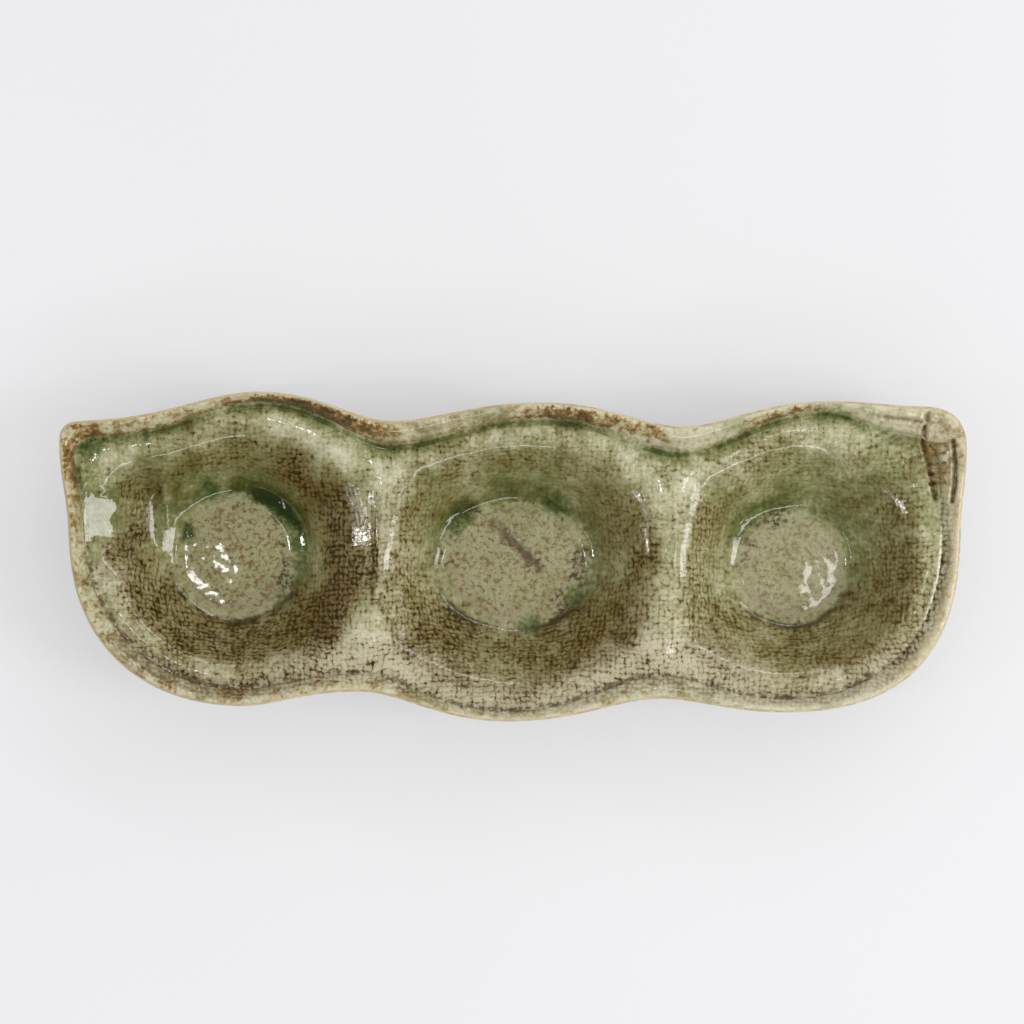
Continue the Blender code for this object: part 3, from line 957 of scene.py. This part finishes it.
def glaze_thickness(finish, g):
    """How thick the glaze is: 0 is bare and 1 is a deep pool, less on the first crest, partly as a
    painted highlight. Also where it hides the floor.
    """
    step = finish.step
    thick = 0.35 + g.patches * 0.09 + g.blots * 0.16 + g.flecks * 0.15 + g.grain * 0.10
    thick = thick - step(-g.hollow, 0.04, 0.50) * 0.16
    thick = thick + step(g.hollow, 0.10, 0.70) * 0.10 * (1.0 - g.floor)
    run_down = (g.lower * 0.20 + g.upper * 0.14) * (1.2 - g.right * 0.5) * (1.0 + g.runs * 0.8)
    thick = thick + g.faces_front * run_down + g.faces_left * (g.lower + g.upper) * 0.10
    thick = thick + step(g.x, 100.0, 112.0) * 0.10 - g.rolled * 0.18
    thick = thick + step(-g.x, 80.0, 100.0) * step(g.y, -10.0, 15.0) * 0.15
    off_line = g.groove - 0.6
    on_line = step(1.3 - abs(off_line), 0.0, 1.2)
    within = step(off_line, -0.6, 0.2) * step(5.0 - off_line, 0.0, 4.8)
    ran = g.back * step(g.patches + g.blots * 0.5, -1.0, 0.6)
    thick = thick + ran * (on_line * 0.20 + within * 0.28)

    behind = 0.30 + 0.70 * step(g.y, -2.0, 14.0)
    pooled = step(g.depth + g.blots * 0.07, -0.10, 0.50)
    fringe = step(3.4 - g.pool_gap, 0.0, 3.4) * (1.0 - g.floor)
    thinner = step(g.x, 40.0, 60.0) * 0.10
    deep = 0.34 - on_line * 0.20 - step(g.x, -65.0, -25.0) * 0.10 - thinner * 0.6
    thick = thick + behind * (pooled * deep + fringe * (0.27 - thinner))
    hidden = pooled
    # Thinner glaze on the first crest, which is also a painted highlight.
    thick = thick - spot_reach(finish, g, *THIN_GLAZE_AND_HIGHLIGHT_CREST) * 0.10
    for x, y, size, amount in GREEN_SPOTS:
        spot = spot_reach(finish, g, x, y, size)
        thick = thick + spot * amount
        hidden = hidden.larger(spot)
    return thick, hidden


# %% [markdown]
# The iron lies in that colour: first as a brown wash over the heavy walls, then as dashes, which
# are blacker where there is more of it. The wash on the walls of the wells is partly painted shade,
# darkest on the walls that face left, away from the panel on the right. The thick green hides both.

# %% Colour the glaze, its iron and painted shade
GLAZE_STOPS = [
    (0.00, shade(221, 216, 192)),
    (0.20, shade(192, 189, 153)),
    (0.40, shade(154, 155, 111)),
    (0.60, shade(115, 121, 74)),
    (0.80, shade(74, 87, 40)),
    (1.00, shade(40, 50, 17)),
]
IRON_STOPS = [
    (0.00, shade(152, 124, 74)),
    (0.35, shade(124, 92, 37)),
    (0.70, shade(86, 62, 18)),
    (1.00, shade(45, 33, 7)),
]


def glaze_colour(finish, g):
    """Tan to bottle green by its thickness, under a wash of iron and painted shade, and dashes of iron.
    """
    step, mix = finish.step, finish.mix
    colour = finish.ramp(g.thick + g.dip * 0.05 * (1.0 - g.open_floor), GLAZE_STOPS)
    colour = mix(g.front_shoulder * (0.60 + g.right * 0.10), colour, shade(203, 193, 166))
    # A brown wash over the walls of the wells: partly iron, partly painted shade on walls turned away
    # from the right panel.
    wash_and_painted_shade = step(g.heavy, 0.25, 1.0) * 0.25 + g.faces_left * g.upper * (0.34 - g.right * 0.24)
    wash_and_painted_shade = wash_and_painted_shade + (g.lower + g.upper) * (g.faces_back * 0.20 + 0.16 - g.right * 0.16)
    colour = mix(wash_and_painted_shade * (1.0 - g.hidden), colour, shade(112, 94, 50))
    paler = mix(g.iron, shade(150, 122, 66), shade(80, 60, 22))
    rust = mix(g.right * 0.8, finish.ramp(g.iron, IRON_STOPS), paler)
    return mix(g.iron * (1.0 - g.hidden), colour, rust)


# %% [markdown]
# The floors lay under the deepest glaze but were wiped, so they are khaki with rusty specks.
# They blush violet towards the front, where a dark line of iron gathered, and one long smear
# crosses the middle floor.

# %% Colour the floors
STREAK = ((-5.0, 9.0), (7.9, -4.1))
STREAK_WIDTH = 2.5


def streak_reach(finish, g):
    """1 along the smear on the middle floor."""
    (ax, ay), (bx, by) = STREAK
    length = math.hypot(bx - ax, by - ay)
    run = ((g.x - ax) * (bx - ax) + (g.y - ay) * (by - ay)) / length
    off = ((g.x - ax) * (ay - by) + (g.y - ay) * (bx - ax)) / length
    beside = STREAK_WIDTH - abs(off) + g.flecks * 1.2 + g.blots * 0.8
    ends = finish.step(run, -3.0, 5.0) * finish.step(length - run, -2.0, 1.0)
    return finish.step(beside, -0.4, 2.0) * ends


def floor_colour(finish, g):
    """Khaki with green patches, rusty specks and a violet blush."""
    step, mix = finish.step, finish.mix
    khaki = mix(g.right, shade(160, 157, 117), shade(174, 171, 134))
    colour = mix(step(g.patches + g.blots * 0.6, -0.2, 0.8) * 0.6, khaki, shade(138, 143, 94))
    blush = step(g.well - g.y * 0.012 + g.blots * 0.08, 0.72, 1.10)
    colour = mix(blush * 0.45, colour, shade(160, 142, 120))
    rusty = step(g.flecks * 0.80 + g.blots * 0.35 + g.grain * 0.45, -0.10, 0.52)
    colour = mix(rusty * (1.0 - g.right * 0.4), colour, shade(122, 97, 66))
    dark = step(g.flecks * 0.6 + g.grain * 0.6 - g.blots * 0.3, 0.35, 0.85)
    colour = mix(dark * (0.75 - g.right * 0.4), colour, shade(82, 62, 34))
    return mix(streak_reach(finish, g) * 0.75, colour, shade(88, 67, 52))


def floor_marks(finish, g, colour):
    """Lays the iron beside the pools, and along the front of each floor, over a colour."""
    step, mix = finish.step, finish.mix
    beside_pool = step(1.6 - g.pool_gap + g.flecks * 0.8, 0.0, 0.9) * (1.0 - g.hidden)
    beside_pool = beside_pool * step(1.16 - g.well, 0.0, 0.12) * step(g.patches + g.blots, -0.5, 0.5)
    colour = mix(beside_pool * step(g.grain + g.flecks, -0.3, 0.4) * 0.85, colour, shade(66, 48, 34))
    front_line = step(0.07 - abs(g.well - 1.10) + g.blots * 0.03, 0.0, 0.05)
    front_line = front_line * g.faces_back * step(g.patches, -0.4, 0.3)
    return mix(front_line * 0.8, colour, shade(58, 46, 18))


# %% [markdown]
# The lip was wiped with the same iron and the glaze ran off it, so it is cream marbled with
# brown, and burnt dark along the middle of the crests at the back and on the tip. Its very
# edge is bare, and a row of dark specks follows the groove.

# %% Colour the lip
# Each crest has its middle and its half length along the dish, in millimetres.
BURNT_CRESTS = ((-55.0, 17.0), (22.0, 17.0), (74.0, 8.0))


def lip_colour(finish, g):
    """Cream marbled with brown, green in patches, and bare on the edge."""
    step, mix = finish.step, finish.mix
    off_band = g.edge - 3.0
    band = step(2.5 - abs(off_band) + g.flecks * 0.5, 0.0, 1.6)
    crests = step(-g.x, 112.0, 120.0) * 0.7
    for middle, width in BURNT_CRESTS:
        off = g.x - middle
        crests = crests + step(1.6 - abs(off) / width, 0.0, 1.0)
    off_row = g.groove + 0.5
    row = step(0.8 - abs(off_row), 0.0, 0.7) * g.back
    marble = g.blots * 0.65 + g.patches * 0.30 + g.flecks * 0.50 + g.grain * 0.35
    marble = marble + g.back * (band * (crests * 0.68 + 0.08)) + row * 0.40
    marble = marble - g.right * 0.60 + g.at_stem * 0.30
    colour = finish.ramp(
        step(marble, -0.75, 1.15),
        [
            (0.0, shade(218, 212, 184)),
            (0.35, shade(192, 184, 146)),
            (0.58, shade(166, 128, 74)),
            (0.78, shade(126, 82, 38)),
            (1.0, shade(66, 44, 20)),
        ],
    )
    colour = mix(g.at_stem * 0.5, colour, shade(208, 195, 160))
    green = step(g.patches + g.blots * 0.5 - band * crests * 0.8, -0.2, 0.6)
    colour = mix(green * (1.0 - g.at_stem) * 0.55, colour, shade(154, 156, 116))
    bare = mix(step(g.blots + g.flecks * 0.5, -0.5, 0.5), shade(180, 146, 92), shade(220, 206, 168))
    return mix(step(1.1 - g.edge, 0.0, 0.7) * 0.75, colour, bare)


# %% [markdown]
# More iron stayed at the stem end: in golden blots round the corner, on the strip between the
# fold and the scored line and, darkest, in those lines themselves.

# %% Colour the stem end
STEM_BLOTS = (117.0, 30.0, 13.0)
STEM_STRIP = ((115.6, 29.0, 4.6), (116.8, 22.5, 5.0))


def stem_colour(finish, g, colour):
    """Lays the blots, the strip and the lines of the stem end over a colour."""
    step, mix = finish.step, finish.mix
    blotted = spot_reach(finish, g, *STEM_BLOTS) * step(g.blots + g.flecks * 0.8, -0.6, 0.9)
    colour = mix(blotted * 0.70, colour, shade(128, 102, 54))
    behind, before = (spot_reach(finish, g, *spot) for spot in STEM_STRIP)
    colour = mix(behind.larger(before) * (0.70 + g.flecks * 0.25), colour, shade(134, 102, 46))
    lines = g.scored + g.flecks * 0.22
    colour = mix(step(lines, 0.20, 0.60) * 0.55, colour, shade(108, 78, 32))
    return mix(step(lines + g.grain * 0.20, 0.55, 1.10) * 0.85, colour, shade(44, 32, 16))


# %% [markdown]
# The layers are mixed in the order the potter laid them: the glaze with its iron, the floors, the
# lip and the stem end. Over them goes a dark line along the front of the groove, which is painted
# shade in its crease. The outside, which no cloth touched, is plain, and a fine grain lies over all of
# it.

# %% Make the cloth glaze
def cloth_glaze(name):
    """The glaze over cloth marks, for everything that is glazed."""
    finish = Finish(bpy.data.materials.new(name))
    step, mix = finish.step, finish.mix
    g = ground(finish)
    g.heavy = iron_heaviness(finish, g)
    g.iron, g.dip = iron_in_weave(finish, g)
    g.thick, g.hidden = glaze_thickness(finish, g)
    g.open_floor = g.floor * (1.0 - g.hidden)

    colour = mix(g.open_floor, glaze_colour(finish, g), floor_colour(finish, g))
    colour = floor_marks(finish, g, colour)
    stem_side = step(g.x, 102.0, 112.0) * (1.0 - g.back)
    burnt = g.on_lip * (0.45 + g.back * 0.35 + stem_side * 0.40)
    burnt = burnt + step(3.2 - g.edge, 0.0, 2.4) * (0.55 - g.back * 0.40 - stem_side * 0.30)
    colour = mix(burnt, colour, lip_colour(finish, g))
    colour = stem_colour(finish, g, colour)
    # A dark mauve line along the front of the groove: painted shade in its crease.
    on_line = step(1.2 - abs(g.groove - 0.4), 0.2, 1.0) * (1.0 - g.back)
    on_line = on_line * (1.0 - step(g.x, 90.0, 104.0) * step(g.y, -26.0, -14.0))
    colour = mix(on_line * step(g.flecks + g.blots, -0.5, 0.5) * 0.75, colour, shade(88, 66, 52))

    outside = mix(step(g.patches, -1.0, 1.0), shade(112, 106, 66), shade(148, 142, 102))
    outside = mix(step(g.flecks, 0.1, 0.7) * 0.5, outside, shade(98, 76, 44))
    ragged = g.under + g.blots * 0.14 + g.flecks * 0.12
    colour = mix(step(ragged, 0.35, 0.65), colour, outside)
    colour = mix(0.7, colour, finish.tint(colour, g.grain * 0.28 + 0.5))

    swell = finish.cloud(g.place, 4.5, 1.0) * (0.2 + g.facet * 0.50)
    swell = swell + finish.cloud(g.place, 3.2, 0.5) * (0.025 + g.open_floor * 0.09)
    dents = (g.dip * -0.03 - g.iron * 0.05) * (1.0 - g.open_floor) * (1.0 - g.facet)
    return finish.surface(
        colour=colour,
        roughness=0.06 + g.grain * 0.02,
        IOR=1.56,
        normal=finish.bump(swell + dents, 0.16),
    )


glaze = cloth_glaze("cloth_glaze")
for piece in (body, lip, *poured.values()):
    piece.data.materials.append(glaze)
print("cloth glaze:", len(glaze.node_tree.nodes), "nodes")

# %% [markdown]
# ## The raw clay of the feet
#
# The feet are wiped clean so that the dish doesn't stick to the kiln shelf. They show the
# clay: buff, sandy, and toasted where the glaze ends.

# %% Make the raw clay
def raw_clay(name):
    """Buff stoneware with sand in it."""
    finish = Finish(bpy.data.materials.new(name))
    place = finish.place()
    _, _, z = finish.parts(place)
    lumps = finish.cloud(place, 5.0, 3.0)
    sand = finish.cloud(place, 0.5, 3.0, 0.7)
    colour = finish.mix(lumps * 0.5 + 0.5, shade(170, 142, 108), shade(196, 172, 138))
    colour = finish.mix(finish.step(sand, 0.32, 0.80) * 0.7, colour, shade(112, 84, 58))
    colour = finish.mix(finish.step(z + lumps * 0.4, 2.0, 3.8) * 0.7, colour, shade(126, 92, 58))
    return finish.surface(
        colour=colour, roughness=0.85 + sand * 0.05, normal=finish.bump(sand * 0.25, 0.12)
    )


clay_finish = raw_clay("raw_clay")
for foot in feet.values():
    foot.data.materials.append(clay_finish)

# %% [markdown]
# ## Tie the pieces to the frame
#
# Nothing on the dish moves, so every piece rides on the one body and stands for its solid.

# %% Ride and replace
SLOTS = {"dish_body": "cloth_glaze", "rim_lip": "lip_glaze", "back_groove_glaze": "pooled_glaze"}
made = {"dish_body": body, "rim_lip": lip, "back_groove_glaze": bead, **feet, **pools}
for node, piece in made.items():
    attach(piece, "root")
    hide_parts(node)
    SLOTS.get(node, "raw_clay" if "foot" in node else "pooled_glaze")
print(len(made), "pieces ride on the dish")

# %% [markdown]
# ## The table and the light
#
# The dish lies on white paper. The paper glows a little to the eye and in mirrored rays, so it
# is white without more light on the dish, and it keeps the dish's shadow.

# %% Lay the table
bpy.ops.object.select_all(action="DESELECT")
bpy.ops.mesh.primitive_plane_add(size=4.0, location=(0, 0, 0))
table = bpy.context.object
table.name = "table"
paper = Finish(bpy.data.materials.new("white_paper"))
fibre = paper.cloud(paper.place(), 180.0)
white = paper.mix(fibre * 0.5 + 0.5, shade(238, 238, 240), shade(243, 243, 245))
lit = paper.node("ShaderNodeBsdfDiffuse", {}, {"Color": white})
glow = paper.node("ShaderNodeEmission", {}, {"Color": shade(243, 243, 245), "Strength": 1.0})
seen = paper.node("ShaderNodeLightPath", output="Is Camera Ray")
bounced = paper.node("ShaderNodeLightPath", output="Is Glossy Ray")
both = seen.larger(bounced)
mixed = paper.node("ShaderNodeMixShader", {}, {0: both * 0.42, 1: lit, 2: glow})
paper.node("ShaderNodeOutputMaterial", {}, {0: mixed})
table.data.materials.append(paper.owner)

# %% [markdown]
# What the lamps draw on the wet-looking glaze says where they hang: a panel on the right, a thin
# strip before and behind the dish, a strip and a small lamp on the left, and two small lamps
# high up that make the glints on the floors.

# %% Hang the lamps
def softbox(name, place, width, height, power, aim=(0, 0, 0)):
    """A soft rectangular lamp that looks at a point."""
    lamp = bpy.data.lights.new(name, "AREA")
    lamp.shape = "RECTANGLE"
    lamp.size = width
    lamp.size_y = height
    lamp.energy = power
    held = bpy.data.objects.new(name, lamp)
    held.location = place
    held.rotation_euler = (Vector(aim) - Vector(place)).to_track_quat("-Z", "Y").to_euler()
    bpy.context.collection.objects.link(held)
    print(name, "hangs", round(Vector(place).length, 2), "m off")


softbox("right_panel", (0.95, -0.20, 0.82), 0.42, 0.46, 4.2)
softbox("front_strip", (0.45, -0.84, 0.80), 1.26, 0.09, 2.1)
softbox("left_strip", (-0.74, -0.345, 0.75), 0.50, 0.025, 0.35)
softbox("left_lamp", (-0.80, -0.16, 0.75), 0.07, 0.07, 0.5)
softbox("back_strip", (0.47, 0.81, 0.72), 1.20, 0.06, 1.6)
softbox("top_left", (-0.23, -0.06, 0.88), 0.05, 0.05, 0.14, aim=(-0.08, 0, 0))
softbox("top_right", (0.26, -0.08, 0.88), 0.09, 0.08, 0.15, aim=(0.08, 0, 0))

# %% [markdown]
# The walls of the studio fill the shadows, more from the back and the right. They are too dim
# to be seen in the glaze, so a mirrored ray meets less of them.

# %% Light the walls
FILL = 0.60
REFLECTED_FILL = 0.14
LEAN = (0.20, 0.40, 0.0)
studio = Finish(bpy.data.worlds.new("studio"))
direction = studio.node("ShaderNodeTexCoord", output="Generated")
lean = studio.node(
    "ShaderNodeVectorMath", {"operation": "DOT_PRODUCT"}, {0: direction, 1: LEAN}, "Value"
)
mirrored = studio.node("ShaderNodeLightPath", output="Is Glossy Ray")
strength = (FILL + mirrored * (REFLECTED_FILL - FILL)) * (1.0 + lean)
sky = studio.node("ShaderNodeBackground", {}, {"Color": (1, 1, 1, 1), "Strength": strength})
studio.node("ShaderNodeOutputWorld", {}, {0: sky})
bpy.context.scene.world = studio.owner
bpy.context.scene.view_settings.view_transform = "Standard"
